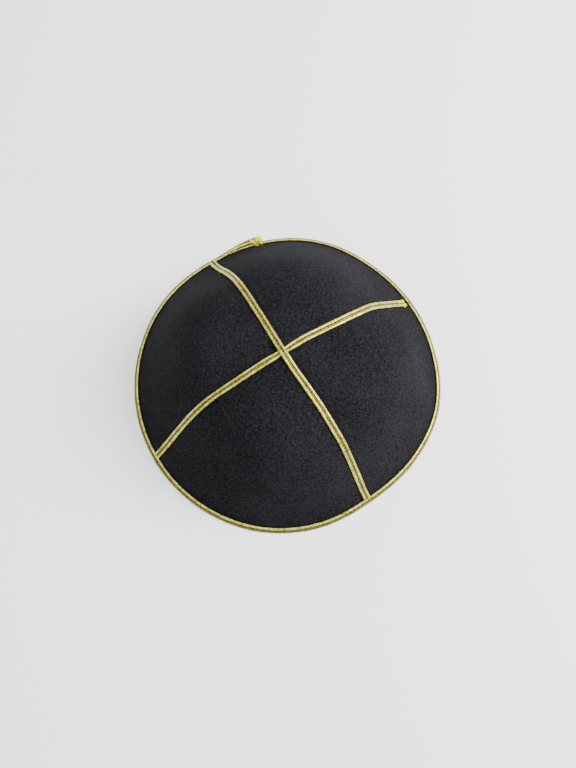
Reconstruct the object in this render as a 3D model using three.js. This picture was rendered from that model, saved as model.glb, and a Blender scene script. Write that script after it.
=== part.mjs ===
// A four-panel suede skullcap. Metallic two-rib braid covers its two seams, which cross at the crown,
// and goes once round its rim. Millimetres, +Z up, the rim resting on the plane Z = 0 and the origin
// below the middle of the outline. +Y is the back of the cap and -Y its front.
import * as THREE from 'three';

// ---- Driving dimensions ---------------------------------------------------------------------

const SUEDE_THICKNESS = 1.2;
const PANEL_GAP = 0.3; // between neighbouring panels, under the braid
const CLEARANCE = 0.3; // between the braid and what it lies on
const BRAID_WIDTH = 3.7;
const BRAID_THICKNESS = 1.2;
const GROOVE_DEPTH = 0.45; // between the two ribs of the braid
const BRAID_FOOT_SHARE = 0.92; // how wide the braid's flat back is, against its full width
const BRAID_SHOULDER_SHARE = 0.45; // how high its widest line is, against its thickness
const RIB_TURNS = [155, 110, 70, 25]; // where the section's points lie round each rib
const RIM_OVERHANG = 1.45; // how far the rim braid stands out from the suede's bottom edge
const RIM_BRAID_UP = 1.0; // from the suede's bottom edge, up the wall, to the middle of the rim braid
const SEAM_STRIP = 2.5; // suede held flat beside a seam by the seam allowance
const EDGE_SHARE = 0.2; // the most of a panel's width that one flat strip, or the panel gap, acts on
const CROWN = new THREE.Vector2(-2.3, -2.4); // where the seams cross, seen from above
const TIP_SHARE = 0.012; // how close to the crown each panel's tip comes

// The rim seen from above: how far the outer edge of its braid is from the origin, by direction.
const RIM_ROWS = [
  { turn: 0, reach: 85.3 },
  { turn: 22.5, reach: 84.3 },
  { turn: 45, reach: 84.3 },
  { turn: 67.5, reach: 84.7 },
  { turn: 90, reach: 86.6 },
  { turn: 112.5, reach: 85.7 },
  { turn: 135, reach: 84.6 },
  { turn: 157.5, reach: 85.5 },
  { turn: 180, reach: 85.5 },
  { turn: 202.5, reach: 85.8 },
  { turn: 225, reach: 86.3 },
  { turn: 247.5, reach: 86.6 },
  { turn: 270, reach: 86.6 },
  { turn: 292.5, reach: 84.9 },
  { turn: 315, reach: 82.2 },
  { turn: 337.5, reach: 83.4 },
];

// The dome from the crown (share 0) to the rim (share 1) along a seam: the height of the suede's outer
// face, how far the middle of a panel puffs up above that, and how far each seam strays to its left as
// seen from the crown.
const RING_ROWS = [
  { share: 0, height: 50.6, puff: 0, backRight: 0, backLeft: 0, frontLeft: 0, frontRight: 0 },
  { share: 0.14, height: 50.2, puff: 0.6, backRight: 0.3, backLeft: -0.2, frontLeft: -0.1, frontRight: -0.2 },
  { share: 0.29, height: 48.4, puff: 1.5, backRight: -0.4, backLeft: -0.4, frontLeft: -0.1, frontRight: 0.1 },
  { share: 0.43, height: 45.7, puff: 2.4, backRight: -0.9, backLeft: -0.6, frontLeft: -0.3, frontRight: 0.3 },
  { share: 0.5, height: 43.6, puff: 3, backRight: -0.9, backLeft: -0.7, frontLeft: -0.6, frontRight: 0.2 },
  { share: 0.57, height: 40.2, puff: 3.7, backRight: -0.7, backLeft: -0.8, frontLeft: -0.7, frontRight: 0.2 },
  { share: 0.64, height: 35.2, puff: 4.3, backRight: -0.1, backLeft: -1, frontLeft: -0.8, frontRight: 0.7 },
  { share: 0.71, height: 28.6, puff: 4.6, backRight: 0, backLeft: -1, frontLeft: -0.8, frontRight: 0.7 },
  { share: 0.79, height: 20.6, puff: 4.4, backRight: 0, backLeft: -0.6, frontLeft: -0.7, frontRight: 0.5 },
  { share: 0.86, height: 13.5, puff: 3.4, backRight: 0, backLeft: -0.1, frontLeft: -0.5, frontRight: 0.3 },
  { share: 0.93, height: 6.8, puff: 1.6, backRight: -0.2, backLeft: 0, frontLeft: -0.2, frontRight: 0 },
  { share: 1, height: 0, puff: 0, backRight: 0, backLeft: 0, frontLeft: 0, frontRight: 0 },
];

// Soft ridges (lift above 0) and dents (below 0) in the panels: the middle of each, how wide it is each
// way, and its lift at the middle.
const FOLD_ROWS = [
  { turn: 24, share: 0.83, turnSpread: 17, shareSpread: 0.055, lift: 1.9 },
  { turn: 22, share: 0.68, turnSpread: 16, shareSpread: 0.06, lift: -1.2 },
  { turn: 122, share: 0.88, turnSpread: 7, shareSpread: 0.045, lift: -1.6 },
  { turn: 198, share: 0.88, turnSpread: 9, shareSpread: 0.05, lift: -1.2 },
  { turn: 208, share: 0.8, turnSpread: 8, shareSpread: 0.05, lift: 0.8 },
  { turn: 305, share: 0.84, turnSpread: 6, shareSpread: 0.05, lift: 1.1 },
  { turn: 255, share: 0.72, turnSpread: 15, shareSpread: 0.09, lift: -0.9 },
];

// The four seams: the direction of each one's end on the rim, and its braid's width.
const SEAMS = {
  backRight: { column: 'backRight', turn: 45.3, braidWidth: 4 },
  backLeft: { column: 'backLeft', turn: 134.3, braidWidth: 3.7 },
  frontLeft: { column: 'frontLeft', turn: 224.2, braidWidth: 3.5 },
  frontRight: { column: 'frontRight', turn: 314, braidWidth: 3.8 },
};

// Each panel lies between two seams, anticlockwise from the first.
const PANELS = [
  { name: 'panel_back', from: SEAMS.backRight, to: SEAMS.backLeft },
  { name: 'panel_left', from: SEAMS.backLeft, to: SEAMS.frontLeft },
  { name: 'panel_front', from: SEAMS.frontLeft, to: SEAMS.frontRight },
  { name: 'panel_right', from: SEAMS.frontRight, to: SEAMS.backRight },
];

// The rim braid's lap: it starts under, goes once round clockwise, and ends over its own start, where
// the cut end springs away from the cap. It climbs over ramp degrees, and is up just before the start.
const RIM_LAP = { start: 124, end: 113, ramp: 3, early: 0.4, springTurns: 6 };
const LAP_SPRING = { out: 0.3, up: 0.9, power: 1.5 }; // how far its cut end springs, and how sharply

const PANEL_COLUMNS = 12; // steps across a panel between its two flat strips
const PANEL_ROWS = 18; // steps from a panel's tip to the rim
const HEM_SHARE = 1 - 1 / PANEL_ROWS; // the lowest ring of points above the rim
const RIM_STEPS = 84; // round the rim before the lap
const LAP_STEPS = 16; // along the climb and the lap, where it bends most

// ---- Helpers --------------------------------------------------------------------------------

const UP = new THREE.Vector3(0, 0, 1);
const lerp = THREE.MathUtils.lerp;
const clamp = THREE.MathUtils.clamp;
const smoothstep = THREE.MathUtils.smoothstep;

// The value of one column of a table between its rows, on a smooth cubic through them.
function read(rows, key, at, column) {
  const last = rows.length - 1;
  const slope = (i) => {
    const before = rows[Math.max(i - 1, 0)];
    const after = rows[Math.min(i + 1, last)];
    return (after[column] - before[column]) / (after[key] - before[key]);
  };
  const next = clamp(rows.findIndex((row) => row[key] > at), 1, last);
  const i = at >= rows[last][key] ? last - 1 : next - 1;
  const step = rows[i + 1][key] - rows[i][key];
  const t = (at - rows[i][key]) / step;
  const keep = 2 * t ** 3 - 3 * t ** 2 + 1;
  return (
    keep * rows[i][column] +
    (1 - keep) * rows[i + 1][column] +
    (t ** 3 - 2 * t ** 2 + t) * slope(i) * step +
    (t ** 3 - t ** 2) * slope(i + 1) * step
  );
}

const ring = (share, column) => read(RING_ROWS, 'share', share, column);

// The rim rows with the ones either side of a full turn, so that the curve closes smoothly.
const RIM_LOOP = [
  ...RIM_ROWS.slice(-2).map(({ turn, reach }) => ({ turn: turn - 360, reach })),
  ...RIM_ROWS,
  ...RIM_ROWS.slice(0, 2).map(({ turn, reach }) => ({ turn: turn + 360, reach })),
];

// A unit vector in plan.
function heading(turn) {
  const angle = THREE.MathUtils.degToRad(turn);
  return new THREE.Vector2(Math.cos(angle), Math.sin(angle));
}

// The suede's bottom edge in plan.
function rimPoint(turn) {
  const wrapped = THREE.MathUtils.euclideanModulo(turn, 360);
  return heading(turn).multiplyScalar(read(RIM_LOOP, 'turn', wrapped, 'reach') - RIM_OVERHANG);
}

// A unit vector in plan to the left of a seam, seen from the crown.
function leftOf(seam) {
  const along = rimPoint(seam.turn).sub(CROWN).normalize();
  return new THREE.Vector2(-along.y, along.x);
}

// ---- The dome -------------------------------------------------------------------------------

// A point on a seam line, on the suede's outer face.
function seamPoint(seam, share) {
  const plan = CROWN.clone().lerp(rimPoint(seam.turn), share);
  plan.addScaledVector(leftOf(seam), ring(share, seam.column));
  return new THREE.Vector3(plan.x, plan.y, ring(share, 'height'));
}

// The lift that the folds give at a place.
function foldLift(turn, share) {
  const lifts = FOLD_ROWS.map((fold) => {
    const round = THREE.MathUtils.euclideanModulo(turn - fold.turn + 180, 360) - 180;
    const away = (round / fold.turnSpread) ** 2 + ((share - fold.share) / fold.shareSpread) ** 2;
    return fold.lift * Math.exp(-away);
  });
  return lifts.reduce((sum, lift) => sum + lift, 0) * (1 - share ** 8);
}

// How wide a panel is at a ring, measured across in a straight line.
function panelWidth(panel, share) {
  return seamPoint(panel.from, share).distanceTo(seamPoint(panel.to, share));
}

// How much of a panel's width one of its flat strips takes at a ring.
function stripShare(panel, share) {
  return Math.min(SEAM_STRIP / panelWidth(panel, share), EDGE_SHARE);
}

// How much of the puff a place has: none on the flat strips beside the seams, all in the middle.
function bulge(panel, across, share) {
  const strip = stripShare(panel, share);
  const inside = clamp((across - strip) / (1 - 2 * strip), 0, 1);
  return 1 - Math.abs(2 * inside - 1) ** 3;
}

// A point on a panel's outer face: across is 0 at its first seam and 1 at its second.
function domePoint(panel, across, share) {
  const turnTo = panel.to.turn + (panel.to.turn < panel.from.turn ? 360 : 0);
  const turn = lerp(panel.from.turn, turnTo, across);
  const plan = CROWN.clone().lerp(rimPoint(turn), share);
  const gapFrom = (PANEL_GAP / 2) * Math.max(1 - across / EDGE_SHARE, 0);
  const gapTo = (PANEL_GAP / 2) * Math.max(1 - (1 - across) / EDGE_SHARE, 0);
  plan.addScaledVector(leftOf(panel.from), ring(share, panel.from.column) * (1 - across) + gapFrom);
  plan.addScaledVector(leftOf(panel.to), ring(share, panel.to.column) * across - gapTo);
  const puff = (ring(share, 'puff') + foldLift(turn, share)) * bulge(panel, across, share);
  return new THREE.Vector3(plan.x, plan.y, ring(share, 'height') + puff);
}

// The unit vectors at a place on a panel: down its wall and out of its outer face.
function domeFrame(panel, across, share) {
  const step = 0.004;
  const lowShare = clamp(share, TIP_SHARE, 1 - step);
  const lowAcross = clamp(across, 0, 1 - step);
  const down = domePoint(panel, across, lowShare + step).sub(domePoint(panel, across, lowShare));
  const round = domePoint(panel, lowAcross + step, share).sub(domePoint(panel, lowAcross, share));
  return { down: down.normalize(), out: down.clone().cross(round).normalize() };
}

// The point on the inner face behind a place. At the rim the edge is cut level, so the inner corner is
// brought up the wall to the height of the outer one.
function innerPoint(panel, across, share) {
  const { down, out } = domeFrame(panel, across, share);
  const inner = domePoint(panel, across, share).addScaledVector(out, -SUEDE_THICKNESS);
  if (share < 1) return inner;
  inner.addScaledVector(down, -inner.z / down.z);
  inner.z = 0;
  return inner;
}

// ---- Solids ---------------------------------------------------------------------------------

// A closed solid from rings of points of equal length, joined in order, with a flat cap at each end.
function solidFromRings(rings, caps) {
  const size = rings[0].length;
  const indices = [];
  for (let r = 0; r + 1 < rings.length; r++)
    for (let c = 0; c < size; c++) {
      const a = r * size + c;
      const b = r * size + ((c + 1) % size);
      indices.push(a, b, b + size, a, b + size, a + size);
    }
  const end = (rings.length - 1) * size;
  for (const [a, b, c] of caps) indices.push(a, c, b, end + a, end + b, end + c);
  const geometry = new THREE.BufferGeometry();
  const positions = rings.flat().flatMap((point) => point.toArray());
  geometry.setAttribute('position', new THREE.Float32BufferAttribute(positions, 3));
  geometry.setIndex(indices);
  return geometry;
}

// Where the columns of points lie across a panel: its two edges, the inner edges of its flat strips,
// and even steps between those.
function columnsAt(panel, share) {
  const strip = stripShare(panel, share);
  const steps = Array.from({ length: PANEL_COLUMNS + 1 }, (_, i) => i / PANEL_COLUMNS);
  return [0, ...steps.map((step) => lerp(strip, 1 - strip, step)), 1];
}

// One suede panel: each ring of points goes across its outer face and back along its inner face.
function panelGeometry(panel) {
  const rings = Array.from({ length: PANEL_ROWS + 1 }, (_, i) => {
    const share = lerp(1, TIP_SHARE, i / PANEL_ROWS);
    const columns = columnsAt(panel, share);
    const outer = columns.map((across) => domePoint(panel, across, share));
    const inner = columns.map((across) => innerPoint(panel, across, share)).reverse();
    return [...outer, ...inner];
  });
  const count = rings[0].length;
  const caps = [];
  for (let c = 0; c < count / 2 - 1; c++) {
    const back = count - 1 - c;
    caps.push([c, c + 1, back - 1], [c, back - 1, back]);
  }
  return solidFromRings(rings, caps);
}

// The braid's section: a flat back and two rounded ribs with a groove between, x across and y out.
function braidSection(width) {
  const half = width / 2;
  const shoulder = BRAID_THICKNESS * BRAID_SHOULDER_SHARE;
  const rise = BRAID_THICKNESS - shoulder;
  const corner = (x, y) => new THREE.Vector2(x, y);
  const rib = (middle) =>
    RIB_TURNS.map(heading).map((h) => corner(middle + (half / 2) * h.x, shoulder + rise * h.y));
  const foot = half * BRAID_FOOT_SHARE;
  const groove = corner(0, BRAID_THICKNESS - GROOVE_DEPTH);
  const top = [...rib(-half / 2), groove, ...rib(half / 2)];
  return [corner(-foot, 0), corner(-half, shoulder), ...top, corner(half, shoulder), corner(foot, 0)];
}

// A length of braid laid along frames, each with the point under its middle, a side and an out vector,
// its height above that point and its width.
function braidGeometry(frames) {
  const rings = frames.map(({ point, side, out, height, width }) =>
    braidSection(width).map(({ x, y }) => {
      const at = point.clone().addScaledVector(side, x).addScaledVector(out, height + y);
      at.z = Math.max(at.z, 0);
      return at;
    }),
  );
  const caps = THREE.ShapeUtils.triangulateShape(braidSection(BRAID_WIDTH), []);
  return solidFromRings(rings, caps.map(([a, b, c]) => [a, c, b]));
}

// ---- The seam braids ------------------------------------------------------------------------

// Shares of the way to the rim where a seam braid has a section: close together at the crossing.
const SEAM_SHARES = [0.02, 0.035, 0.05, 0.065, 0.08, 0.11, 0.15, 0.2, 0.26, 0.32, 0.38, 0.44, 0.49];
const WALL_SHARES = [0.53, 0.57, 0.61, 0.65, 0.7, 0.75, 0.8, 0.84, 0.88, 0.91, 0.935];
const SHORT_END = [0.955, 0.968]; // stops just above the rim braid
const LONG_END = [0.951, 0.964, 0.977, 0.99]; // climbs over the rim braid

const STACKED = BRAID_THICKNESS + CLEARANCE; // the lift of a braid that lies on another
const CROWN_HUMP = { full: 0.032, none: 0.1 }; // shares where the upper braid is on the lower, and down
const RIM_CLIMB = { none: 0.93, full: 0.962 }; // shares where it is still down, and on the rim braid
const WIDTH_TAPER = 0.4; // the share by which a seam's braid has its own width

// The frames of a braid that runs up one seam, over the crown and down the other. liftAt gives how far
// it is lifted off the suede at a share of the first or the second seam.
function seamBraidFrames(first, second, liftAt) {
  const stops = [
    ...first.shares.toReversed().map((share) => ({ seam: first.seam, share })),
    { seam: first.seam, share: 0 },
    ...second.shares.map((share) => ({ seam: second.seam, share })),
  ];
  const points = stops.map(({ seam, share }) => seamPoint(seam, share));
  return stops.map(({ seam, share }, i) => {
    const before = points[Math.max(i - 1, 0)];
    const after = points[Math.min(i + 1, points.length - 1)];
    const along = after.clone().sub(before).normalize();
    const side = along.clone().cross(UP).normalize();
    const out = side.clone().cross(along).normalize();
    const middle = (first.seam.braidWidth + second.seam.braidWidth) / 2;
    const width = lerp(middle, seam.braidWidth, smoothstep(share, 0, WIDTH_TAPER));
    return { point: points[i], side, out, height: CLEARANCE + liftAt(seam, share), width };
  });
}

const SPAN = [...SEAM_SHARES, ...WALL_SHARES];

function underBraid() {
  const first = { seam: SEAMS.frontLeft, shares: [...SPAN, ...SHORT_END] };
  const second = { seam: SEAMS.backRight, shares: [...SPAN, ...SHORT_END] };
  return braidGeometry(seamBraidFrames(first, second, () => 0));
}

function overBraid() {
  const first = { seam: SEAMS.frontRight, shares: [...SPAN, ...SHORT_END] };
  const second = { seam: SEAMS.backLeft, shares: [...SPAN, ...LONG_END] };
  const overCrown = (share) => 1 - smoothstep(share, CROWN_HUMP.full, CROWN_HUMP.none);
  const climb = (share) => smoothstep(share, RIM_CLIMB.none, RIM_CLIMB.full);
  const overRim = (seam, share) => (seam === SEAMS.backLeft ? climb(share) : 0);
  const liftAt = (seam, share) => STACKED * Math.max(overCrown(share), overRim(seam, share));
  return braidGeometry(seamBraidFrames(first, second, liftAt));
}

// ---- The rim braid --------------------------------------------------------------------------

// The panel that holds a direction, and how far across it that is.
function placeOnRim(turn) {
  for (const panel of PANELS) {
    const sweep = THREE.MathUtils.euclideanModulo(panel.to.turn - panel.from.turn, 360);
    const into = THREE.MathUtils.euclideanModulo(turn - panel.from.turn, 360);
    if (into <= sweep) return { panel, across: into / sweep };
  }
}

function rimBraid() {
  const total = 360 + RIM_LAP.start - RIM_LAP.end;
  const climb = { from: 360 - RIM_LAP.early - RIM_LAP.ramp, to: 360 - RIM_LAP.early };
  const around = Array.from({ length: RIM_STEPS }, (_, i) => (climb.from * i) / RIM_STEPS);
  const lap = Array.from({ length: LAP_STEPS + 1 }, (_, i) => lerp(climb.from, total, i / LAP_STEPS));
  const frames = [...around, ...lap].map((gone) => {
    const turn = RIM_LAP.start - gone;
    const { panel, across } = placeOnRim(turn);
    const up = domePoint(panel, across, HEM_SHARE).sub(domePoint(panel, across, 1)).normalize();
    const round = new THREE.Vector3(...heading(turn - 90), 0);
    const out = up.clone().cross(round).normalize();
    const lapped = smoothstep(gone, climb.from, climb.to);
    const sprung = smoothstep(gone, total - RIM_LAP.springTurns, total) ** LAP_SPRING.power;
    const edge = rimPoint(turn);
    const point = new THREE.Vector3(edge.x, edge.y, sprung * LAP_SPRING.up);
    point.addScaledVector(up, RIM_BRAID_UP);
    const height = CLEARANCE + STACKED * lapped + LAP_SPRING.out * sprung;
    return { point, side: up, out, height, width: BRAID_WIDTH };
  });
  return braidGeometry(frames);
}

// ---- The cap --------------------------------------------------------------------------------

const suede = new THREE.MeshStandardMaterial({ color: '#2d2d30', roughness: 0.96, metalness: 0 });
const goldBraid = new THREE.MeshStandardMaterial({ color: '#b3a972', roughness: 0.45, metalness: 0.7 });

function piece(name, geometry, material) {
  const mesh = new THREE.Mesh(geometry, material.clone());
  mesh.name = name;
  mesh.geometry.computeVertexNormals();
  return mesh;
}

const skullcap = new THREE.Group();
for (const panel of PANELS) skullcap.add(piece(panel.name, panelGeometry(panel), suede));
skullcap.add(piece('seam_braid_under', underBraid(), goldBraid));
skullcap.add(piece('seam_braid_over', overBraid(), goldBraid));
skullcap.add(piece('rim_braid', rimBraid(), goldBraid));

export default skullcap;
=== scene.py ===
# %% [markdown]
# # A suede skullcap trimmed with metallic braid
# This lesson dresses a plain, exact model of a small round cap. The plain model gives every size and
# place. Here each of its seven solids is replaced by a piece that looks like the real thing: four
# soft panels of black suede, two braids that cross at the crown, and one braid round the rim.

import math
import random

import bmesh
import bpy
import numpy as np
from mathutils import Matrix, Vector, kdtree, noise


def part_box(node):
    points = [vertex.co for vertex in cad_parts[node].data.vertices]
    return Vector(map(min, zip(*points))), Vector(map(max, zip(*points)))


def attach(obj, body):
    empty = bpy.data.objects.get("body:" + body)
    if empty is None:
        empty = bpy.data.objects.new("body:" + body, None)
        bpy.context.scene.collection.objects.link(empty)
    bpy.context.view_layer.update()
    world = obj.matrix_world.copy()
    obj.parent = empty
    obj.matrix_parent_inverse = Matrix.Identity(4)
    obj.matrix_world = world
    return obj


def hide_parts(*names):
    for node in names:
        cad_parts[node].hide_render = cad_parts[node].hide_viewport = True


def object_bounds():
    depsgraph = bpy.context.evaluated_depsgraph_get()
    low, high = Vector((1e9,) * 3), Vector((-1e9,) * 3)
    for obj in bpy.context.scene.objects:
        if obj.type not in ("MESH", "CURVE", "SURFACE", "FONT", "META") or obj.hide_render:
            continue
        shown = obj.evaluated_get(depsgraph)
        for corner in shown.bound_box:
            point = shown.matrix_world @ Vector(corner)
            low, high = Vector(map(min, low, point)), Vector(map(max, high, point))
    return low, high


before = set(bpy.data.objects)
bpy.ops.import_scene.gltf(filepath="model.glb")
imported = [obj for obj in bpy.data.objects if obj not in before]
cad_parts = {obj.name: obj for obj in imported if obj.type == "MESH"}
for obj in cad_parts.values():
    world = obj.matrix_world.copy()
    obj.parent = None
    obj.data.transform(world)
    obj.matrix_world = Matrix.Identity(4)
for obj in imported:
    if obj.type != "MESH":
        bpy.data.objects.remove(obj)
cad_low, cad_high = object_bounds()
MM = 0.001
print("the plain model measures", [round(x / MM, 1) for x in cad_high - cad_low], "mm")

# %% [markdown]
# ## The camera
# The cap is looked down on, from a little to its right, at arm's length. The camera is placed by
# three numbers: the direction it stands in, its height above the horizon and its distance. The aim
# is a point on the floor close to the middle of the rim.

# %% Camera
AIM = Vector((0.61, -2.96, 0)) * MM
LOOK_AZIMUTH = math.radians(12)
LOOK_ELEVATION = math.radians(73)
LOOK_DISTANCE = 500 * MM
LENS_LENGTH = 42.19

towards_camera = Vector((
    math.sin(LOOK_AZIMUTH) * math.cos(LOOK_ELEVATION),
    -math.cos(LOOK_AZIMUTH) * math.cos(LOOK_ELEVATION),
    math.sin(LOOK_ELEVATION),
))
camera = bpy.data.objects.new("camera", bpy.data.cameras.new("camera"))
camera.data.lens = LENS_LENGTH
camera.location = AIM + towards_camera * LOOK_DISTANCE
camera.rotation_euler = (-towards_camera).to_track_quat("-Z", "Y").to_euler()
bpy.context.scene.collection.objects.link(camera)
bpy.context.scene.camera = camera
print("the camera stands at", [round(x / MM) for x in camera.location], "mm")

# %% [markdown]
# ## The light
# Suede shows its shape only where the light is uneven, so one large soft lamp stands to the right
# of the cap and a little behind it, and a weak one hangs above. The world adds a pale, even light,
# so that the metallic braid has something to reflect.

# %% Lamps and world
def add_lamp(name, place, size, power):
    """A square lamp at a place in metres that faces the cap."""
    lamp = bpy.data.objects.new(name, bpy.data.lights.new(name, "AREA"))
    lamp.data.size = size
    lamp.data.energy = power
    lamp.location = place
    lamp.rotation_euler = (-Vector(place)).to_track_quat("-Z", "Y").to_euler()
    bpy.context.scene.collection.objects.link(lamp)


WORLD_COLOUR = (0.95, 0.97, 1, 1)
WORLD_STRENGTH = 1.25

add_lamp("window", (0.86, 0.3, 0.66), size=0.6, power=33)
add_lamp("room", (-0.2, 0.0, 1.3), size=0.9, power=9)

world = bpy.data.worlds.new("pale room")
world.use_nodes = True
background = world.node_tree.nodes["Background"]
background.inputs["Color"].default_value = WORLD_COLOUR
background.inputs["Strength"].default_value = WORLD_STRENGTH
bpy.context.scene.world = world

# %% [markdown]
# ## Node helpers
# Every material below is built from nodes. Small helpers keep that short: one adds a node and sets
# its inputs, and one makes a node group with named sockets, so that an effect can be shared. An
# input is named as Blender names it, or by its number after an underscore where names repeat.

# %% Helpers for nodes
def add_node(tree, kind, settings=None, **inputs):
    """Adds a node, sets its own settings, then links or sets its inputs by name."""
    node = tree.nodes.new(kind)
    for name, value in (settings or {}).items():
        setattr(node, name, value)
    for name, value in inputs.items():
        socket = node.inputs[int(name[1:])] if name[0] == "_" else node.inputs[name.replace("_", " ")]
        if isinstance(value, bpy.types.NodeSocket):
            tree.links.new(value, socket)
        else:
            socket.default_value = value
    return node


def new_group(name, inputs, outputs):
    """A shader node group with float inputs (name: value) and outputs (name: socket type)."""
    group = bpy.data.node_groups.new(name, "ShaderNodeTree")
    for label, value in inputs.items():
        socket = group.interface.new_socket(label, in_out="INPUT", socket_type="NodeSocketFloat")
        socket.default_value = value
    for label, kind in outputs.items():
        group.interface.new_socket(label, in_out="OUTPUT", socket_type=kind)
    return group, group.nodes.new("NodeGroupInput"), group.nodes.new("NodeGroupOutput")


print("helpers for nodes and groups are ready")

# %% [markdown]
# The next helpers each add one common node and return what comes out of it: a sum, a mixed colour,
# and a ramp from 0 to 1. The last one starts a new material.

# %% Helpers for sums, colours and materials
def math_node(tree, operation, first, second=0.0, third=0.0):
    """The result of one sum on values or sockets."""
    node = add_node(tree, "ShaderNodeMath", {"operation": operation}, _0=first, _1=second, _2=third)
    return node.outputs[0]


def mix_colour(tree, share, first, second):
    """A colour between two others."""
    node = add_node(tree, "ShaderNodeMix", {"data_type": "RGBA"}, _0=share, _6=first, _7=second)
    return node.outputs[2]


def ramp(tree, value, low, high):
    """0 below low, 1 above high and a straight line between."""
    return add_node(tree, "ShaderNodeMapRange", Value=value, From_Min=low, From_Max=high).outputs[0]


def new_material(name):
    """A material with its node tree and its Principled shader."""
    material = bpy.data.materials.new(name)
    material.use_nodes = True
    return material, material.node_tree, material.node_tree.nodes["Principled BSDF"]


print("helpers for sums, colours and materials are ready")

# %% [markdown]
# ## Suede
# Suede is leather with its fibres brushed up into a short nap. Fingers leave lighter and darker
# patches a few centimetres wide, and the nap itself is a fine speckle about a millimetre across. One
# group makes both. Shade goes to the colour, and Height, which adds still finer fibres, to the bumps.

# %% Nap group
nap, nap_in, nap_out = new_group(
    "nap",
    {"Patch Size": 26, "Grain Size": 930, "Patch Strength": 0.4, "Grain Strength": 0.6},
    {"Shade": "NodeSocketFloat", "Height": "NodeSocketFloat"},
)
FIBRE_SIZE = 3400.0  # like the sizes above, in pattern cells to the metre
FIBRE_HEIGHT = 0.35  # against the height of the grain
MIDDLE = 0.5  # the mean of a noise, and of the shade that the group gives

nap_place = add_node(nap, "ShaderNodeTexCoord").outputs["Object"]
patch_size, grain_size = (nap_in.outputs[label] for label in ("Patch Size", "Grain Size"))
patches = add_node(
    nap, "ShaderNodeTexNoise", Vector=nap_place, Scale=patch_size, Detail=4.0, Distortion=0.6
)
grain = add_node(
    nap, "ShaderNodeTexNoise", Vector=nap_place, Scale=grain_size, Detail=5.0, Roughness=0.62
)
fibres = add_node(nap, "ShaderNodeTexNoise", Vector=nap_place, Scale=FIBRE_SIZE, Detail=2.0)
patch_swing = math_node(nap, "SUBTRACT", patches.outputs[0], MIDDLE)
grain_swing = math_node(nap, "SUBTRACT", grain.outputs[0], MIDDLE)
patch_part = math_node(nap, "MULTIPLY", patch_swing, nap_in.outputs["Patch Strength"])
grain_part = math_node(nap, "MULTIPLY", grain_swing, nap_in.outputs["Grain Strength"])
nap_sum = math_node(nap, "ADD", math_node(nap, "ADD", patch_part, grain_part), MIDDLE)
nap.links.new(nap_sum, nap_out.inputs["Shade"])
nap_height = math_node(nap, "MULTIPLY_ADD", fibres.outputs[0], FIBRE_HEIGHT, grain.outputs[0])
nap.links.new(nap_height, nap_out.inputs["Height"])
print("the nap group has", len(nap.nodes), "nodes")

# %% [markdown]
# Suede has almost no gloss, so its mirror share is close to nothing and its sheen, the light that
# fibres scatter at the edges of a shape, is only just there. The outer face is brushed and patchy.
# The inner face is smoother and more even.

# %% Suede materials
SUEDE_ROUGHNESS = 0.95
SUEDE_GLOSS = 0.07
SHEEN, SHEEN_ROUGHNESS = 0.003, 0.5
SHEEN_TINT = (0.72, 0.76, 0.9, 1)
NAP_RELIEF = 0.25 * MM


def suede_material(name, dark, light, patch_strength, grain_strength, bump):
    """One face of the leather: two colours with the nap's shade between them."""
    material, tree, shader = new_material(name)
    brushed = add_node(tree, "ShaderNodeGroup", {"node_tree": nap})
    brushed.inputs["Patch Strength"].default_value = patch_strength
    brushed.inputs["Grain Strength"].default_value = grain_strength
    colour = mix_colour(tree, brushed.outputs["Shade"], dark, light)
    tree.links.new(colour, shader.inputs["Base Color"])
    relief = brushed.outputs["Height"]
    lifted = add_node(tree, "ShaderNodeBump", Strength=bump, Distance=NAP_RELIEF, Height=relief)
    tree.links.new(lifted.outputs[0], shader.inputs["Normal"])
    shader.inputs["Roughness"].default_value = SUEDE_ROUGHNESS
    shader.inputs["Specular IOR Level"].default_value = SUEDE_GLOSS
    shader.inputs["Sheen Weight"].default_value = SHEEN
    shader.inputs["Sheen Roughness"].default_value = SHEEN_ROUGHNESS
    shader.inputs["Sheen Tint"].default_value = SHEEN_TINT
    return material


suede_nap = suede_material(
    "black suede nap",
    dark=(0.001, 0.001, 0.0014, 1),
    light=(0.0148, 0.0143, 0.0172, 1),
    patch_strength=0.7,
    grain_strength=3.1,
    bump=0.95,
)
suede_flesh = suede_material(
    "black suede inner face",
    dark=(0.003, 0.003, 0.0033, 1),
    light=(0.0115, 0.0112, 0.0122, 1),
    patch_strength=0.3,
    grain_strength=1.2,
    bump=0.5,
)
print("suede materials:", suede_nap.name, "and", suede_flesh.name)

# %% [markdown]
# ## Metallic braid
# Soutache braid is plaited round two cords, so it has two ribs with a groove between them. Its
# thread is wrapped in a thin metal strip, which wears unevenly. This group makes that wear as dull
# patches over a couple of millimetres, and adds painted highlights: glints under a millimetre across.

# %% Strand wear group
# The glints are painted highlights, and the dull patches are wear.
GLINT_SHARE, DULL_SHARE = 0.6, 0.4  # how much each pattern counts for in the wear

strand, strand_in, strand_out = new_group(
    "strand dull patches and painted glints",
    {"Patch Size": 420, "Glint Size": 1300},
    {"Shade": "NodeSocketFloat", "Height": "NodeSocketFloat"},
)
strand_place = add_node(strand, "ShaderNodeTexCoord").outputs["Object"]
dull_size, glint_size = (strand_in.outputs[label] for label in ("Patch Size", "Glint Size"))
dull = add_node(strand, "ShaderNodeTexNoise", Vector=strand_place, Scale=dull_size, Detail=3.0)
glints = add_node(strand, "ShaderNodeTexNoise", Vector=strand_place, Scale=glint_size, Detail=2.0)
dull_part = math_node(strand, "MULTIPLY", dull.outputs[0], DULL_SHARE)
strand_sum = math_node(strand, "MULTIPLY_ADD", glints.outputs[0], GLINT_SHARE, dull_part)
strand.links.new(strand_sum, strand_out.inputs["Shade"])
strand.links.new(glints.outputs[0], strand_out.inputs["Height"])
print("the strand group has", len(strand.nodes), "nodes")
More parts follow.
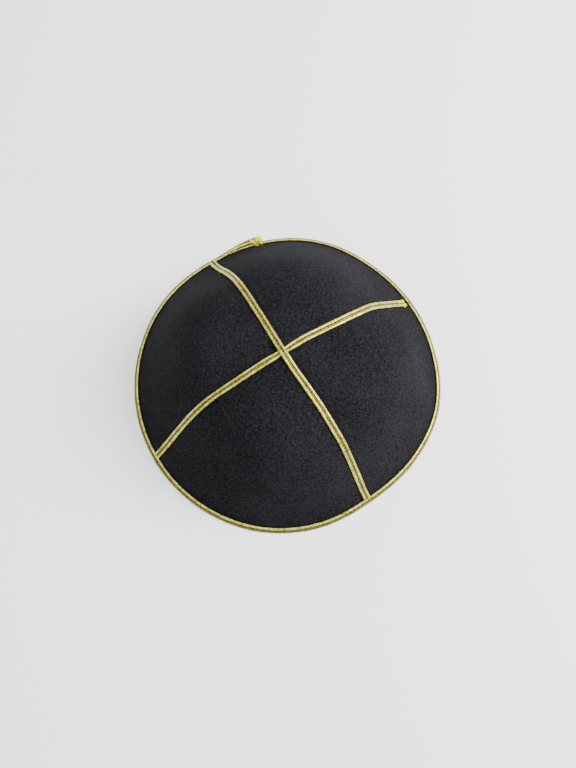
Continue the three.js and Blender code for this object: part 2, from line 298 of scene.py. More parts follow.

# %% [markdown]
# The thread is mostly metal to the shader, with a painted highlight on the top of each wrap, where
# it catches the light, and dark olive painted shade in the groove, where little light gets in. The
# braid pieces carry two values for this: how much painted shade a place gets, which is how deep it is
# in the groove and is high all over the rim's lower rib, and how high it is on a wrap.

# %% The look of a thread
# This spreads the wear and the painted glints out together.
WEAR_AND_GLINT_SCALE, WEAR_AND_GLINT_OFFSET = 3.3, -1.43  # spread the wear out until it reaches from dark to bright
WRAP_LIGHT = 0.45  # how much brighter the top of a wrap is
FULLY_LIT = 0.9  # from here up, the thread has its bright colour
SMOOTHER, ROUGHER = 0.1, 0.15  # how far wear moves the roughness each way
THREAD_RELIEF = 0.08 * MM


def braid_material(name, bright, shaded, groove, metallic, roughness, gloss=0.5):
    """Metal thread: bright on the wraps, shaded between them and darkest in the groove."""
    material, tree, shader = new_material(name)
    wear_and_painted_light = add_node(tree, "ShaderNodeGroup", {"node_tree": strand})
    in_groove = add_node(tree, "ShaderNodeAttribute", {"attribute_name": "groove"}).outputs["Fac"]
    on_wrap = add_node(tree, "ShaderNodeAttribute", {"attribute_name": "wrap"}).outputs["Fac"]
    # The group's dull patches are wear, and its glints are painted highlights.
    wear_and_glints = math_node(tree, "MULTIPLY_ADD", wear_and_painted_light.outputs["Shade"], WEAR_AND_GLINT_SCALE, WEAR_AND_GLINT_OFFSET)
    # The wrap value adds the painted highlight at each wrap's top, and the groove value the painted
    # shade.
    lit = math_node(tree, "MULTIPLY_ADD", on_wrap, WRAP_LIGHT, wear_and_glints)
    ribs = mix_colour(tree, ramp(tree, lit, 0.0, FULLY_LIT), shaded, bright)
    tree.links.new(mix_colour(tree, in_groove, ribs, groove), shader.inputs["Base Color"])
    rough = add_node(
        tree,
        "ShaderNodeMapRange",
        Value=wear_and_painted_light.outputs["Shade"],
        To_Min=roughness - SMOOTHER,
        To_Max=roughness + ROUGHER,
    )
    tree.links.new(rough.outputs[0], shader.inputs["Roughness"])
    relief = wear_and_painted_light.outputs["Height"]
    lifted = add_node(tree, "ShaderNodeBump", Strength=0.5, Distance=THREAD_RELIEF, Height=relief)
    tree.links.new(lifted.outputs[0], shader.inputs["Normal"])
    shader.inputs["Metallic"].default_value = metallic
    shader.inputs["Specular IOR Level"].default_value = gloss
    return material


print("wear makes a thread up to", ROUGHER, "rougher and", SMOOTHER, "smoother")

# %% [markdown]
# Three threads share that look: the gold one of the braid, a duller one that sews it down, and the
# yarn inside the braid, which shows where an end is cut and isn't metal.

# %% Braid materials
gold_thread = braid_material(
    "gold metal thread",
    bright=(0.8, 0.72, 0.15, 1),
    shaded=(0.13, 0.113, 0.008, 1),
    groove=(0.04, 0.035, 0.001, 1),
    metallic=0.78,
    roughness=0.31,
)
sewing_thread = braid_material(
    "olive sewing thread",
    bright=(0.26, 0.24, 0.04, 1),
    shaded=(0.13, 0.12, 0.015, 1),
    groove=(0.05, 0.045, 0.01, 1),
    metallic=0.2,
    roughness=0.55,
)
cut_thread = braid_material(
    "cut core yarn",
    bright=(0.95, 0.92, 0.0, 1),
    shaded=(0.5, 0.46, 0.0, 1),
    groove=(0.12, 0.1, 0.01, 1),
    metallic=0.0,
    roughness=0.6,
    gloss=0.1,
)
print("braid materials:", gold_thread.name, sewing_thread.name, cut_thread.name)

# %% [markdown]
# ## Softness
# No sewn cap is a perfect dome. Handling leaves low swells in the leather, less than half a
# millimetre high. Every piece has to share them, or the braid would sink in or float, so they are
# one function of place. It fades out at the rim, which rests on a level surface.

# %% Soft swells
DOME_HEART = Vector(((cad_low.x + cad_high.x) / 2, (cad_low.y + cad_high.y) / 2, -20 * MM))
SWELLS = [(31 * MM, 0.34 * MM), (12 * MM, 0.1 * MM)]  # how wide and how high
SWELL_FADE = 14 * MM  # above the rim by this much, the swells are at their full height
SAMPLE_DEPTH = 0.5 * MM  # the swells are read this far in, about the middle of the leather


def outward(place):
    """The unit vector that points out of the dome at a place."""
    return (Vector(place) - DOME_HEART).normalized()


def soft_place(place):
    """Where a place on the plain model lies once the leather has softened."""
    place = Vector(place)
    free = min(max(place.z / SWELL_FADE, 0), 1)
    level = place - outward(place) * SAMPLE_DEPTH
    lift = sum(high * noise.noise(level / wide) for wide, high in SWELLS)
    return place + outward(place) * lift * free * free


print("swells of", [high / MM for _, high in SWELLS], "mm")

# %% [markdown]
# ## Reading a braid's route
# Each plain braid is a long strip with a simple section. Slicing it like bread gives the route: the
# middle of each slice's flat back is a point on it, and the slice also says how wide the braid is.
# A slice is made with the bisect operator on a copy whose double corners are merged.

# %% Slices
MERGE_DISTANCE = 0.001 * MM
CUT_TOLERANCE = 1e-8  # metres


def merged_copy(node):
    """The mesh of a node of the plain model, with its loose triangles joined up."""
    bm = bmesh.new()
    bm.from_mesh(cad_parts[node].data)
    bmesh.ops.remove_doubles(bm, verts=bm.verts, dist=MERGE_DISTANCE)
    return bm


def slices(bm, point, normal):
    """The corner points of each separate outline that a plane cuts through a closed mesh."""
    cut_mesh = bm.copy()
    geometry = cut_mesh.verts[:] + cut_mesh.edges[:] + cut_mesh.faces[:]
    cut = bmesh.ops.bisect_plane(
        cut_mesh, geom=geometry, dist=CUT_TOLERANCE, plane_co=point, plane_no=normal
    )
    edges = {e for e in cut["geom_cut"] if isinstance(e, bmesh.types.BMEdge)}
    outlines = []
    while edges:
        waiting, corners = [edges.pop()], set()
        while waiting:
            for corner in waiting.pop().verts:
                corners.add(corner)
                joined = [e for e in corner.link_edges if e in edges]
                edges.difference_update(joined)
                waiting.extend(joined)
        outlines.append(np.array([corner.co for corner in corners]))
    cut_mesh.free()
    return outlines


print("slices are ready for", [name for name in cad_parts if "braid" in name])

# %% [markdown]
# A slice through faceted walls is a little ragged, so a route has to be smoothed. Each row of numbers
# is averaged with its neighbours. Both ends are carried on first, by turning the rows there about
# the end one, so the ends stay where they are.

# %% Smoothing
def unit(rows):
    """The same vectors, each one metre long."""
    return rows / np.linalg.norm(rows, axis=1, keepdims=True)


def smooth(rows, reach):
    """Each row averaged with its neighbours up to reach rows away. The end rows stay."""
    kernel = np.hanning(2 * reach + 3)[1:-1]
    before, after = 2 * rows[0] - rows[reach:0:-1], 2 * rows[-1] - rows[-2 : -reach - 2 : -1]
    padded = np.vstack([before, rows, after])
    kernel = kernel / kernel.sum()
    return np.column_stack([np.convolve(column, kernel, "valid") for column in padded.T])


print("smoothing keeps the ends:", smooth(np.array([[0.0], [1.0], [0.0], [1.0]]), 1).ravel())

# %% [markdown]
# A smoothed route is cut into even steps. Then the three directions at each point are squared up:
# along the braid, to its side, and out of the cap.

# %% Routes from slices
BRAID_STEP = 0.17 * MM  # between rings of points along a braid
ROUTE_EASE = 1.5 * MM  # corners of the route are rounded over this length
SETTLE = 0.24 * MM  # the plain model's clearance, taken up where the braid is sewn down
PLACE_SMOOTHING, WIDTH_SMOOTHING = 2, 4  # in slices to each side


def make_route(outlines, side_of):
    """The route of a braid from its slices: place, along, side, out and width at even steps."""
    middles = np.array([outline.mean(axis=0) for outline in outlines])
    middles = smooth(middles, PLACE_SMOOTHING)
    along = unit(np.gradient(middles, axis=0))
    side = side_of(along, outlines)
    out = unit(np.cross(side, along))
    places, widths = [], []
    for middle, across, up, outline in zip(middles, side, out, outlines):
        a, b = (outline - middle) @ across, (outline - middle) @ up
        places.append(middle + across * (a.min() + a.max()) / 2 + up * (b.min() - SETTLE))
        widths.append([a.max() - a.min()])
    places = smooth(np.array([soft_place(place) for place in places]), PLACE_SMOOTHING)
    gone = np.r_[0, np.cumsum(np.linalg.norm(np.diff(places, axis=0), axis=1))]
    steps = np.linspace(0, gone[-1], round(gone[-1] / BRAID_STEP) + 1)
    rows = np.hstack([places, side, smooth(np.array(widths), WIDTH_SMOOTHING)])
    rows = np.column_stack([np.interp(steps, gone, column) for column in rows.T])
    rows = smooth(rows, round(ROUTE_EASE / BRAID_STEP))
    place, side, width = rows[:, :3], rows[:, 3:6], rows[:, 6]
    along = unit(np.gradient(place, axis=0))
    side = unit(side - along * np.sum(side * along, axis=1, keepdims=True))
    return {
        "place": place,
        "along": along,
        "side": side,
        "out": np.cross(side, along),
        "width": width,
        "gone": steps,
        "length": steps[-1],
        "press": np.ones(len(steps)),
    }


print("a braid has a ring of points every", round(BRAID_STEP / MM, 2), "mm")

# %% [markdown]
# The two seam braids run from corner to corner of the cap, so their slices are upright planes square
# to that diagonal. Where the braids cross, the lower one is drawn in a little.

# %% Seam routes
END_SHARE = 0.012  # the slices start this share of the way in, past the slant of the cut end
SEAM_SLICES = 110
PINCH, PINCH_REACH = 0.24, 4.5 * MM  # the lower braid is drawn in where the upper one presses on it


def seam_route(node, from_right):
    """The route of a seam braid, from the front of the cap to the back."""
    low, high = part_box(node)
    start = Vector((high.x if from_right else low.x, low.y, 0))
    end = Vector((low.x if from_right else high.x, high.y, 0))
    bm = merged_copy(node)
    heading = (end - start).normalized()
    shares = np.linspace(END_SHARE, 1 - END_SHARE, SEAM_SLICES)
    outlines = [slices(bm, start.lerp(end, share), heading)[0] for share in shares]
    bm.free()
    return make_route(outlines, lambda along, _: unit(np.cross(along, (0, 0, 1))))


route_under = seam_route("seam_braid_under", from_right=False)
route_over = seam_route("seam_braid_over", from_right=True)

between = route_under["place"][:, None, :2] - route_over["place"][None, ::10, :2]
to_crossing = np.linalg.norm(between, axis=2).min(axis=1)
route_under["width"] = route_under["width"] * (1 - PINCH * np.exp(-((to_crossing / PINCH_REACH) ** 2)))
print("seam braids:", [round(r["length"] / MM, 1) for r in (route_under, route_over)], "mm")

# %% [markdown]
# The rim braid is sliced with planes that turn about the upright axis, as a cake is. It starts
# behind the cap, goes once round clockwise and passes over its own start, so in that lap a slice
# holds two outlines. The nearer one to the axis is the start and the farther one the end.

# %% The rim's route
LAP_START, LAP_END = 124, 113  # the directions of the braid's two ends, in degrees from +X
LAP_TURN = 360 + LAP_START - LAP_END
RIM_SLICES = 200
END_MARGIN = 0.25  # degrees by which the slices keep clear of the two cut ends
WALL_SMOOTHING = 3  # in slices to each side


def rim_outline(bm, gone):
    """The outline of the rim braid after it has gone round by some degrees."""
    angle = math.radians(LAP_START - gone)
    heading = np.array((math.cos(angle), math.sin(angle), 0))
    found = [o for o in slices(bm, (0, 0, 0), (-heading[1], heading[0], 0)) if (o @ heading).mean() > 0]
    found.sort(key=lambda outline: (outline @ heading).mean())
    return found[-1] if gone > LAP_TURN / 2 else found[0]


def up_the_wall(_, outlines):
    """The way each outline is longest, which is up the cap's wall."""
    ways = [np.linalg.svd(outline - outline.mean(axis=0))[2][0] for outline in outlines]
    return smooth(np.array([way * np.sign(way[2]) for way in ways]), WALL_SMOOTHING)


rim_mesh = merged_copy("rim_braid")
rim_turns = np.linspace(END_MARGIN, LAP_TURN - END_MARGIN, RIM_SLICES)
route_rim = make_route([rim_outline(rim_mesh, gone) for gone in rim_turns], up_the_wall)
rim_mesh.free()
print("the rim's route has", len(route_rim["place"]), "rings")

# %% [markdown]
# The end of the rim braid isn't sewn down. It rolls over as it springs away, so that its lower rib
# swings out, and its first few millimetres are pressed thin where the end passes over them. The two
# seam braids start under the rim braid at the front, so those ends are carried on and pressed thin
# too. These are the tools for both.

# %% Tools to roll and tuck
TUCK_PRESS = 0.3  # how thick the very end of a tucked braid is, against its full thickness


def ease(values, start, end):
    """0 before start, 1 after end, and smooth between."""
    t = np.clip((values - start) / (end - start), 0, 1)
    return t * t * (3 - 2 * t)


def roll(route, start, angle):
    """Turns a braid about its upper edge, from a distance before its end on."""
    rolling = ease(route["gone"], route["length"] - start, route["length"] - start / 3)
    turned = (math.radians(angle) * rolling)[:, None]
    half = route["width"][:, None] / 2
    side, out = route["side"], route["out"]
    route["side"] = side * np.cos(turned) - out * np.sin(turned)
    route["out"] = out * np.cos(turned) + side * np.sin(turned)
    route["place"] = route["place"] + (side - route["side"]) * half


def tuck(route, reach):
    """Carries a braid's start on backwards for a little way, pressed thin."""
    steps = round(reach / BRAID_STEP)
    for key in ("side", "out", "along", "width"):
        route[key] = np.concatenate([np.repeat(route[key][:1], steps, axis=0), route[key]])
    back = np.arange(steps, 0, -1)[:, None] * BRAID_STEP
    route["place"] = np.vstack([route["place"][0] - route["along"][0] * back, route["place"]])
    route["gone"] = np.arange(len(route["place"])) * BRAID_STEP
    route["length"] = route["gone"][-1]
    route["press"] = TUCK_PRESS + (1 - TUCK_PRESS) * ease(route["gone"], 0, reach)


print("tucked ends are pressed to", TUCK_PRESS, "of their thickness")

# %% [markdown]
# Now they are used. The back right end of the lower seam braid has come apart, so its two ribs also
# fan out there.

# %% Roll, tuck and fan
ROLL_START, ROLL_ANGLE = 16 * MM, 20  # the roll begins this far before the end, and its degrees
TUCK_REACH = 3.5 * MM
SEAM_TUCK_REACH = 2.2 * MM
FAN, FAN_REACH = 0.22, 7 * MM  # the ribs of a frayed end stand apart by this share of the width

roll(route_rim, ROLL_START, ROLL_ANGLE)
tuck(route_rim, TUCK_REACH)
tuck(route_under, SEAM_TUCK_REACH)
tuck(route_over, SEAM_TUCK_REACH)

fan_end = route_under["length"]
route_under["width"] *= 1 + FAN * ease(route_under["gone"], fan_end - FAN_REACH, fan_end)
print("rim braid:", round(route_rim["length"] / MM, 1), "mm")

# %% [markdown]
# ## Puffed leather
# Beside each braid the leather puffs up a little, because the stitching pulls it down under the
# braid. How far a place is from a braid is looked up in a search tree of the seam routes' points.

# %% Puffs beside the seams
PUFF_START, PUFF_END = 1.9 * MM, 6 * MM  # distances from the middle of a braid
PUFF_HEIGHT = 0.22 * MM
STITCH_PITCH = 2.3 * MM
STITCH_DIP = 0.3  # how much a puff rises and falls from stitch to stitch
TREE_STEP = 4  # every fourth ring of a route goes into the search tree

seam_tree_rows = []
for route in (route_under, route_over):
    seam_tree_rows += list(zip(route["place"][::TREE_STEP], route["gone"][::TREE_STEP]))
seam_tree = kdtree.KDTree(len(seam_tree_rows))
for number, (place, _) in enumerate(seam_tree_rows):
    seam_tree.insert(place, number)
seam_tree.balance()


def seam_puff(place):
    """How far the leather beside a seam stands up, with a small dip at each stitch."""
    _, number, away = seam_tree.find(place)
    if not PUFF_START < away < PUFF_END:
        return 0.0
    rise = math.sin(math.pi * (away - PUFF_START) / (PUFF_END - PUFF_START)) ** 2
    dips = 1 + STITCH_DIP * math.cos(2 * math.pi * seam_tree_rows[number][1] / STITCH_PITCH)
    return PUFF_HEIGHT * rise * dips


print("the search tree holds", len(seam_tree_rows), "points")

# %% [markdown]
# ## Placing a piece
# Every finished piece gets its materials and smooth shading. It is also hung on the body it moves
# with, and the plain solid it stands for, if any, is hidden.

# %% Objects and pieces
def new_object(name, mesh):
    """An object at the origin that shows a mesh."""
    obj = bpy.data.objects.new(name, mesh)
    bpy.context.scene.collection.objects.link(obj)
    return obj


def finish_piece(obj, *slots, node=None, slot_name=None):
    """Gives an object its materials and says where it belongs."""
    for material in slots:
        obj.data.materials.append(material)
    for polygon in obj.data.polygons:
        polygon.use_smooth = True
    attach(obj, "root")
    if node:
        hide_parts(node)


print("the cap moves as one body, so every piece rides on root")

# %% [markdown]
# ## The suede panels
# A panel starts as a copy of its plain solid. Its triangles are joined back into four-sided faces,
# because subdivision rounds those evenly. The cut edges are creased so that they stay crisp. After
# subdivision the leather gets its swells and its puffs.

# %% Panels
CUT_EDGE_ANGLE = math.radians(50)
JOIN_ANGLE = math.radians(40)  # triangles that meet at less than this become one face
SUBDIVISIONS = 3


def suede_panel(node, name):
    """A panel of suede that stands for one plain solid."""
    bm = merged_copy(node)
    bmesh.ops.join_triangles(
        bm, faces=bm.faces, angle_face_threshold=JOIN_ANGLE, angle_shape_threshold=math.pi
    )
    crease = bm.edges.layers.float.new("crease_edge")
    for edge in bm.edges:
        edge[crease] = 1.0 if edge.calc_face_angle(0) > CUT_EDGE_ANGLE else 0.0
    for face in bm.faces:
        looks_in = face.normal.dot(outward(face.calc_center_median())) < 0
        face.material_index = 1 if looks_in else 0
    cage = bpy.data.meshes.new(name + "_cage")
    bm.to_mesh(cage)
    bm.free()
    obj = new_object(name, cage)
    rounding = obj.modifiers.new("rounding", "SUBSURF")
    rounding.levels = rounding.render_levels = SUBDIVISIONS
    bpy.context.view_layer.update()
    evaluated = obj.evaluated_get(bpy.context.evaluated_depsgraph_get())
    rounded = bpy.data.meshes.new_from_object(evaluated)
    obj.modifiers.clear()
    obj.data = rounded
    for vertex in rounded.vertices:
        place = vertex.co.copy()
        vertex.co = soft_place(place) + outward(place) * seam_puff(place)
    finish_piece(obj, suede_nap, suede_flesh, node=node, slot_name="suede")
    print(name, "has", len(rounded.polygons), "faces")


for where in ("back", "left", "front", "right"):
    suede_panel("panel_" + where, "suede_" + where)

# %% [markdown]
# ## Rolling a tube
# Ribs, stitches and loose threads are all thin tubes along a line. A tube can be made from a flat
# grid: one side of the grid runs along the line and the other is rolled round it. The grid operator
# makes the faces, its two long edges are welded point to point, and the holes at the ends are filled.
# Merging by distance is not used for the weld, because it missed points on a tube of 3,000 rings.

# %% Tubes
def rolled_grid(rings, sides):
    """A closed tube. Each point's x is the number of its ring, and its y and z go round a circle."""
    bm = bmesh.new()
    made = bmesh.ops.create_grid(bm, x_segments=rings - 1, y_segments=sides, size=0.5)["verts"]
    spots = [
        (round((vertex.co.x + 0.5) * (rings - 1)), round((vertex.co.y + 0.5) * sides))
        for vertex in made
    ]
    first_edge = {ring: vertex for vertex, (ring, side) in zip(made, spots) if side == 0}
    welds = {v: first_edge[ring] for v, (ring, side) in zip(made, spots) if side == sides}
    for vertex, (ring, side) in zip(made, spots):
        angle = 2 * math.pi * side / sides
        vertex.co = (ring, math.cos(angle), math.sin(angle))
    bmesh.ops.weld_verts(bm, targetmap=welds)
    ends = [edge for edge in bm.edges if edge.is_boundary]
    bmesh.ops.holes_fill(bm, edges=ends, sides=sides)
    bmesh.ops.recalc_face_normals(bm, faces=bm.faces)
    mesh = bpy.data.meshes.new("tube")
    bm.to_mesh(mesh)
    bm.free()
    return mesh


print("a tube of 5 rings and 6 sides has", len(rolled_grid(5, 6).vertices), "points")

# %% [markdown]
# Three more helpers work on whole meshes: one reads the points, one joins meshes into a single one,
# and one stores a number on every point, which a material can read.

# %% Helpers for meshes
def mesh_points(mesh):
    """The points of a mesh as rows of three numbers."""
    rows = np.empty(len(mesh.vertices) * 3)
    mesh.vertices.foreach_get("co", rows)
    return rows.reshape(-1, 3)


def join_meshes(name, meshes):
    """One mesh from several, with their point values kept and all faces turned outwards."""
    bm = bmesh.new()
    for mesh in meshes:
        bm.from_mesh(mesh)
    bmesh.ops.recalc_face_normals(bm, faces=bm.faces)
    joined = bpy.data.meshes.new(name)
    bm.to_mesh(joined)
    bm.free()
    return joined


def set_value(mesh, name, values):
    """Stores one number for each point of a mesh, which a material can read."""
    attribute = mesh.attributes.new(name, "FLOAT", "POINT")
    attribute.data.foreach_set("value", np.asarray(values, np.float32))


def set_look(obj, groove, wrap):
    """Stores both values that the braid materials read on a piece made of threads."""
    count = len(obj.data.vertices)
    set_value(obj.data, "groove", np.full(count, groove))
    set_value(obj.data, "wrap", np.full(count, wrap))


print("each piece of thread stores the values groove and wrap")

# %% [markdown]
# ## The braids
# Each rib of a braid is one rolled tube, flattened where it lies on the suede. The metal thread goes
# round it in slanting wraps, and the slant is mirrored on the other rib, which gives the braid its
# herringbone look. The wraps are real ridges in the mesh, about a tenth of a millimetre high.

# %% Ribs
BRAID_THICKNESS = 1.15 * MM
RIB_SIDES, FLOOR_SIDES = 10, 6
WRAP_PITCH = 0.85 * MM
WRAP_HEIGHT = 0.2  # as a share of the rib's size
WRAP_SLANT = 0.55  # turns of the wave from one side of a rib to the other
RIB_SHARE = 0.385  # half of a rib's width, as a share of half the braid's
FLOOR_SHARE = 0.33  # the same for the plait that joins the ribs under the groove
FLOOR_THICKNESS = 0.62 * MM
GROOVE_SHARE = 0.27  # how far the groove reaches to each side, as a share of half the width
WOBBLE = 0.08  # how unevenly the braid was woven, as a share of its width
WOBBLE_SHORT, WOBBLE_LONG = 2.9 * MM, 7.3 * MM  # the two lengths that the unevenness mixes
UNDERSIDE = 0.98  # the flat back of a rib has no wraps and is this full


def rib(route, which, cut, wear_and_painted_light):
    """One part of a braid: which is -1 or 1 for a rib, and 0 for the plait between them."""
    rings = len(route["place"]) - round(cut / BRAID_STEP)
    mesh = rolled_grid(rings, RIB_SIDES if which else FLOOR_SIDES)
    grid = mesh_points(mesh)
    at = np.clip(np.round(grid[:, 0]).astype(int), 0, rings - 1)
    angle = np.arctan2(grid[:, 2], grid[:, 1])
    gone = route["gone"][at]
    uneven = 1 + WOBBLE * np.sin(gone / WOBBLE_SHORT + 2 * which) * np.sin(gone / WOBBLE_LONG)
    wave = np.abs(np.cos(math.pi * (gone / WRAP_PITCH + which * WRAP_SLANT * angle / math.pi)))
    swell = uneven * (1 + WRAP_HEIGHT * (wave - 0.5))
    half = route["width"][at] / 2
    share, thickness = (RIB_SHARE, BRAID_THICKNESS) if which else (FLOOR_SHARE, FLOOR_THICKNESS)
    across = which * half * (1 - share) + np.cos(angle) * half * share * swell
    height = thickness / 2 * (1 + np.sin(angle) * np.where(angle > 0, swell, UNDERSIDE))
    height = height * route["press"][at]
    place = route["place"][at] + route["side"][at] * across[:, None]
    place = place + route["out"][at] * height[:, None]
    place[:, 2] = np.maximum(place[:, 2], 0)
    mesh.vertices.foreach_set("co", place.ravel())
    # The groove value is painted shade, in the groove and all over the rim's lower rib. The wrap value
    # puts a painted highlight on the top of each wrap.
    inner = np.clip(1.5 - np.abs(across) / (half * GROOVE_SHARE), 0, 1)
    set_value(mesh, "groove", np.maximum(inner, wear_and_painted_light))
    set_value(mesh, "wrap", wave)
    return mesh


print("a wrap stands", round(WRAP_HEIGHT * BRAID_THICKNESS / 2 / MM, 2), "mm high")

# %% [markdown]
# A braid is both ribs and the plait between them, joined into one piece. The back right end has
# frayed away, and each of its three parts stops at a place of its own. The upper braid stops on the
# inner half of the rim braid. The rim's lower rib is darkened with painted shade.

# %% Braids
UPPER_CUT, PLAIT_CUT, LOWER_CUT = 9.6 * MM, 9 * MM, 6.8 * MM
OVER_END_CUT = 2.0 * MM
# Painted shade over the whole of the rim's lower rib.
RIM_LOWER_RIB_SHADE = 0.8  # 0 is as bright as the other ribs and 1 as dark as a groove


def braid(name, node, route, cuts=(0, 0, 0), wear_and_painted_light=0.0):
    """A whole braid. Its parts are cut back at its end by three lengths of their own."""
    parts = [
        rib(route, which, cut, wear_and_painted_light if which < 0 else 0) for which, cut in zip((-1, 0, 1), cuts)
    ]
    obj = new_object(name, join_meshes(name, parts))
    finish_piece(obj, gold_thread, node=node, slot_name="gold_braid")
    print(name, "has", len(obj.data.polygons), "faces")


braid("braid_under", "seam_braid_under", route_under, (UPPER_CUT, PLAIT_CUT, LOWER_CUT))
braid("braid_over", "seam_braid_over", route_over, (OVER_END_CUT, OVER_END_CUT, OVER_END_CUT))
braid("braid_rim", "rim_braid", route_rim, wear_and_painted_light=RIM_LOWER_RIB_SHADE)

# %% [markdown]
# ## Stitches
# The braid is sewn down along its groove with a running stitch. Each stitch is a short thread that
# rises out of the groove and dives back in. Each is a small tube with only a few faces, because
# there are some four hundred of them.

# %% Stitches
STITCH_SHARE = 0.68  # of the pitch that shows on top
STITCH_RADIUS = 0.2 * MM
STITCH_RINGS, STITCH_SIDES = 7, 6
STITCH_HEIGHT = 0.6  # how high its top lies, as a share of the braid's thickness
STITCH_DIVE = 0.3  # how far its ends lie below that, as the same share
END_RADIUS = 0.35  # how thick its ends are, against its middle
STITCH_WRAP = 0.6  # how bright sewing thread is


def tube_along(middles, radii, side, out, sides):
    """A tube round a short row of points."""
    mesh = rolled_grid(len(middles), sides)
    grid = mesh_points(mesh)
    at = np.clip(np.round(grid[:, 0]).astype(int), 0, len(middles) - 1)
    place = middles[at] + (grid[:, 1:2] * side + grid[:, 2:3] * out) * radii[at][:, None]
    mesh.vertices.foreach_set("co", place.ravel())
    return mesh


def stitches(name, route, cut):
    """The running stitch along one braid, up to where it is cut back."""
    middle_ring = STITCH_RINGS // 2
    count = int((route["length"] - cut) / STITCH_PITCH)
    bow = np.sin(np.linspace(0, math.pi, STITCH_RINGS))
    made = []
    for number in range(count):
        start = (number + 0.5 * (1 - STITCH_SHARE)) * STITCH_PITCH
        gone = start + np.linspace(0, STITCH_SHARE * STITCH_PITCH, STITCH_RINGS)
        at = np.clip(np.round(gone / BRAID_STEP).astype(int), 0, len(route["place"]) - 1)
        height = BRAID_THICKNESS * (STITCH_HEIGHT - STITCH_DIVE * (1 - bow))
        middles = route["place"][at] + route["out"][at] * height[:, None]
        radii = STITCH_RADIUS * (END_RADIUS + (1 - END_RADIUS) * bow)
        side, out = route["side"][at[middle_ring]], route["out"][at[middle_ring]]
        made.append(tube_along(middles, radii, side, out, STITCH_SIDES))
    obj = new_object(name, join_meshes(name, made))
    set_look(obj, groove=0.0, wrap=STITCH_WRAP)
    finish_piece(obj, sewing_thread, slot_name="gold_braid")
    print(name, "has", count, "stitches")


stitches("stitches_under", route_under, PLAIT_CUT)
stitches("stitches_over", route_over, OVER_END_CUT)
stitches("stitches_rim", route_rim, 0.0)

# %% [markdown]
# ## Frayed ends
# Where a braid is cut, its cords come apart into a small brush of bright yellow threads. Three
# brushes show at the back right, one for each rib and a thin one past the upper rib's. Two more make
# the tuft where the rim braid's end springs away. Each thread leaves in its own direction, chosen by
# a seeded generator, and curls a little.

# %% Brushes of cut thread
FRAY_RINGS, FRAY_SIDES = 7, 5
FRAY_RADIUS = 0.17 * MM
FRAY_TAPER = 0.5  # how much thinner a thread is at its tip
CURL = 0.6  # how far a thread bends by its tip, as a share of its length
# The light and dark places on the cut threads are painted light and painted shade, for the shadows
# between the threads.
LIGHT_AND_SHADE_SPOT_SIZE = 0.5 * MM  # the size of the light and dark places on the threads


def brush(name, route, across, count, length, spread, lift, seed, back, bulk):
    """A brush of threads that starts some way back from the end of a braid and points past it."""
    dice = random.Random(seed)
    ring = -1 - round(back / BRAID_STEP)
    place, side, out, along = (Vector(route[key][ring]) for key in ("place", "side", "out", "along"))
    width = route["width"][ring]
    shares = np.linspace(0, 1, FRAY_RINGS)
    radii = FRAY_RADIUS * (1 - FRAY_TAPER * shares)
    made = []
    for _ in range(count):
        start = place + side * (across + dice.uniform(-bulk, bulk)) * width
        start = start + out * dice.uniform(0.3, 1.1) * MM
        start = start - along * dice.uniform(0, 0.8) * MM
        way = along + side * dice.gauss(0, spread) + out * (lift + abs(dice.gauss(0, spread)))
        curl = side * dice.gauss(0, 2 * spread) - out * dice.uniform(0, 0.9)
        curl = curl - along * dice.uniform(0, 0.5)
        reach = length * dice.uniform(0.5, 1.1)
        way = way.normalized()
        middles = np.array([start + way * reach * t + curl * reach * CURL * t * t for t in shares])
        middles[:, 2] = np.maximum(middles[:, 2], FRAY_RADIUS)
        made.append(tube_along(middles, radii, np.array(side), np.array(out), FRAY_SIDES))
    obj = new_object(name, join_meshes(name, made))
    # A noise moves each thread's colour between its lit and shaded copies: painted light and painted
    # shade.
    painted_light_speckle = [noise.noise(vertex.co / LIGHT_AND_SHADE_SPOT_SIZE) for vertex in obj.data.vertices]
    set_value(obj.data, "groove", np.zeros(len(painted_light_speckle)))
    set_value(obj.data, "wrap", 0.5 + 0.9 * np.array(painted_light_speckle))
    finish_piece(obj, cut_thread, slot_name="gold_braid")
    print(name, "has", count, "threads")


print("cut threads are", round(2 * FRAY_RADIUS / MM, 2), "mm thick")

# %% [markdown]
# Across says where a brush starts on the width of its braid, from -0.5 to 0.5, and bulk how far its
# threads start to each side of that. Back is how far before the braid's end they start. Spread is
# how much their directions differ, and lift how far they rise from the suede, or sink towards it.

# %% Frayed ends
brush(
    "frayed_back_right_upper", route_under, across=-0.27, count=140, length=4.6 * MM,
    spread=0.08, lift=0.04, seed=3, back=UPPER_CUT, bulk=0.12,
)
brush(
    "frayed_back_right_lower", route_under, across=0.33, count=140, length=3.7 * MM,
    spread=0.13, lift=0.08, seed=8, back=LOWER_CUT, bulk=0.12,
)
brush(
    "frayed_back_right_tip", route_under, across=-0.3, count=45, length=2.8 * MM,
    spread=0.22, lift=0.05, seed=4, back=5 * MM, bulk=0.13,
)
brush(
    "frayed_rim_lap", route_rim, across=0.05, count=220, length=3.9 * MM,
    spread=0.36, lift=-0.5, seed=5, back=1.6 * MM, bulk=0.42,
)
brush(
    "frayed_rim_lap_root", route_rim, across=0.05, count=180, length=4.4 * MM,
    spread=0.3, lift=-0.45, seed=9, back=5 * MM, bulk=0.45,
)

# %% [markdown]
# ## Stray threads
# Metal thread breaks with wear, and here and there a short end stands out from the side of a braid.
# These are single thin tubes with the braid's own finish.

# %% Stray threads
STRAY_RADIUS = 0.055 * MM
STRAY_RINGS, STRAY_SIDES = 6, 4
STRAY_TAPER = 0.4  # how much thinner a stray is at its tip
STRAY_EDGE = 0.46  # how far from the braid's middle it starts, as a share of the width
STRAY_HEIGHT = 0.4  # how high it starts, as a share of the braid's thickness


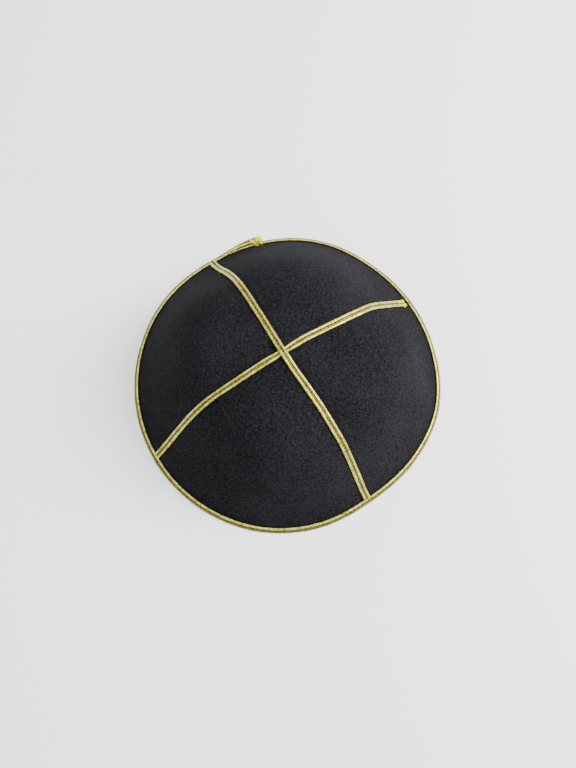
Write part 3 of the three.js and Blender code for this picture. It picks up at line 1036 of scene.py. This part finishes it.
def strays(name, route, count, seed):
    """A few broken threads along the two edges of a braid."""
    dice = random.Random(seed)
    shares = np.linspace(0, 1, STRAY_RINGS)
    radii = STRAY_RADIUS * (1 - STRAY_TAPER * shares)
    made = []
    for _ in range(count):
        ring = dice.randrange(len(route["place"]) // 20, len(route["place"]) * 9 // 10)
        place, side, out, along = (Vector(route[key][ring]) for key in ("place", "side", "out", "along"))
        edge = side * dice.choice((-1, 1))
        start = place + edge * route["width"][ring] * STRAY_EDGE
        start = start + out * STRAY_HEIGHT * BRAID_THICKNESS
        way = edge + out * dice.uniform(0.1, 0.7) + along * dice.gauss(0, 0.8)
        curl = along * dice.gauss(0, 0.5) - out * 0.3
        reach = dice.uniform(0.7, 1.9) * MM
        way = way.normalized()
        middles = np.array([start + way * reach * t + curl * reach * t * t for t in shares])
        middles[:, 2] = np.maximum(middles[:, 2], STRAY_RADIUS)
        made.append(tube_along(middles, radii, np.array(side), np.array(out), STRAY_SIDES))
    obj = new_object(name, join_meshes(name, made))
    set_look(obj, groove=0.0, wrap=1.0)
    finish_piece(obj, gold_thread, slot_name="gold_braid")
    print(name, "has", count, "threads")


strays("strays_under", route_under, 14, seed=21)
strays("strays_over", route_over, 14, seed=22)
strays("strays_rim", route_rim, 30, seed=23)

# %% [markdown]
# ## The surface it stands on
# A plain pale floor, far wider than the view. It isn't part of the cap.

# %% Floor
FLOOR_HALF_WIDTH = 3  # metres
FLOOR_COLOUR = (0.95, 0.95, 0.95, 1)

floor_mesh = bpy.data.meshes.new("floor")
bm = bmesh.new()
bmesh.ops.create_grid(bm, x_segments=1, y_segments=1, size=FLOOR_HALF_WIDTH)
bm.to_mesh(floor_mesh)
bm.free()
floor = new_object("floor", floor_mesh)
floor_paint, _, floor_shader = new_material("pale floor")
floor_shader.inputs["Base Color"].default_value = FLOOR_COLOUR
floor_shader.inputs["Roughness"].default_value = 0.9
floor.data.materials.append(floor_paint)
print("the floor is", 2 * FLOOR_HALF_WIDTH, "m across")
